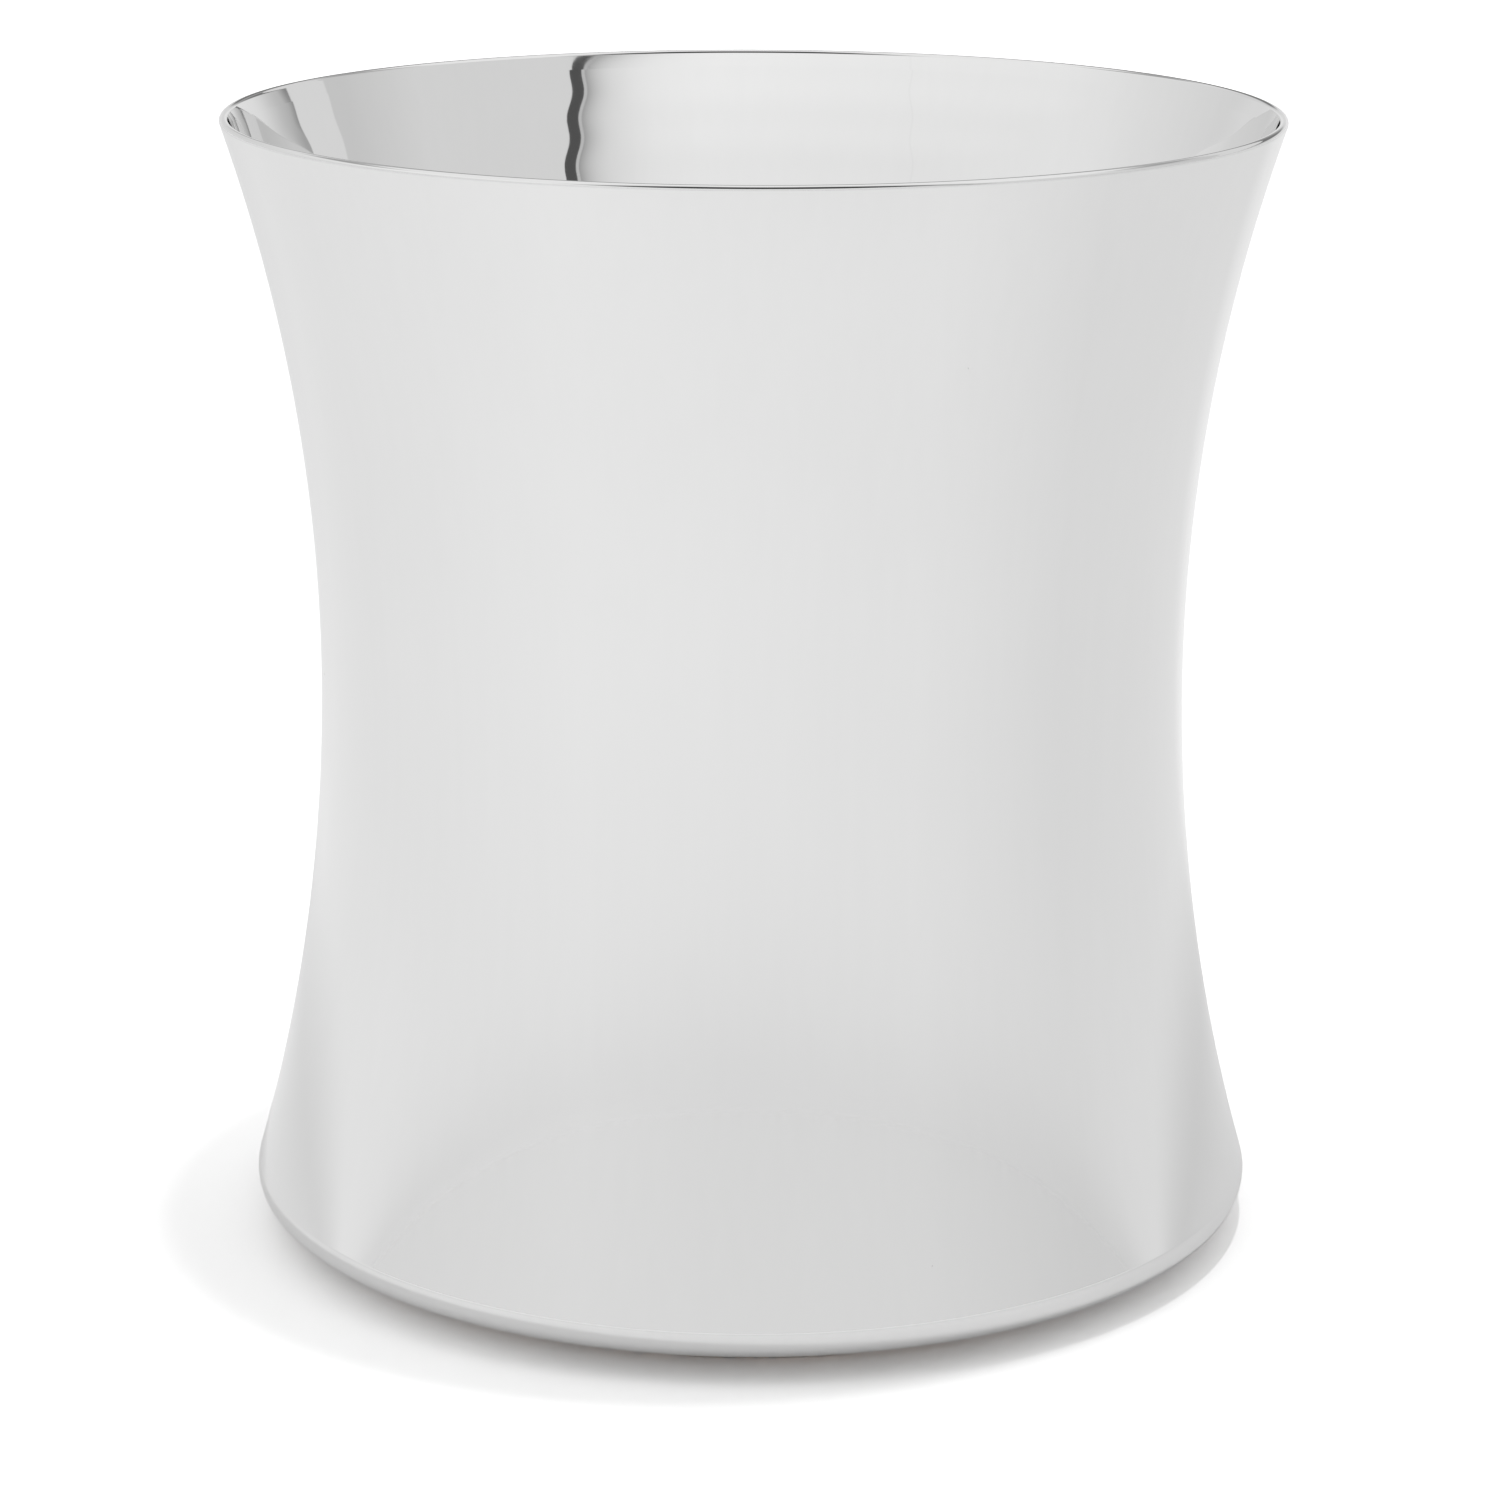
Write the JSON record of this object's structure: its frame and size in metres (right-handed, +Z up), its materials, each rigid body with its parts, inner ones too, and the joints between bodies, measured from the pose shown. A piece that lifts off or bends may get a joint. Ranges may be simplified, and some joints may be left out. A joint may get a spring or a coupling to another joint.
{
  "type": "champagne bucket",
  "caption": "Waisted, double-walled silver champagne bucket with a rounded lip, turned-in foot and brown non-slip base pad.",
  "frame": {"origin": "on the table, under the centre of the base pad", "axes": "+Z up along the bucket's axis of symmetry; the bucket is round, so +X and +Y are free"},
  "size_m": [0.214, 0.214, 0.232],
  "materials": {
    "silver_outer": "mirror-polished silver plate, hand-buffed",
    "silver_inner": "mirror-polished silver plate with faint spinning rings",
    "silver_rim": "mirror-polished silver plate",
    "band_metal": "plain unplated strip",
    "plate_metal": "satin silver plate, concentric brushing",
    "foam": "rigid closed-cell foam",
    "plug_rubber": "matte black silicone rubber",
    "adhesive": "translucent double-sided film",
    "pad": "matte brown cork-rubber granule"
  },
  "bodies": {
    "root": {"upper_shell": "silver_outer", "lower_shell": "silver_outer", "waist_band": "band_metal", "rim_wire": "silver_rim", "inner_liner": "silver_inner", "base_plate": "plate_metal", "floor_spacer": "foam", "vent_plug": "plug_rubber", "pad_adhesive": "adhesive", "base_pad": "pad"}
  },
  "joints": []
}
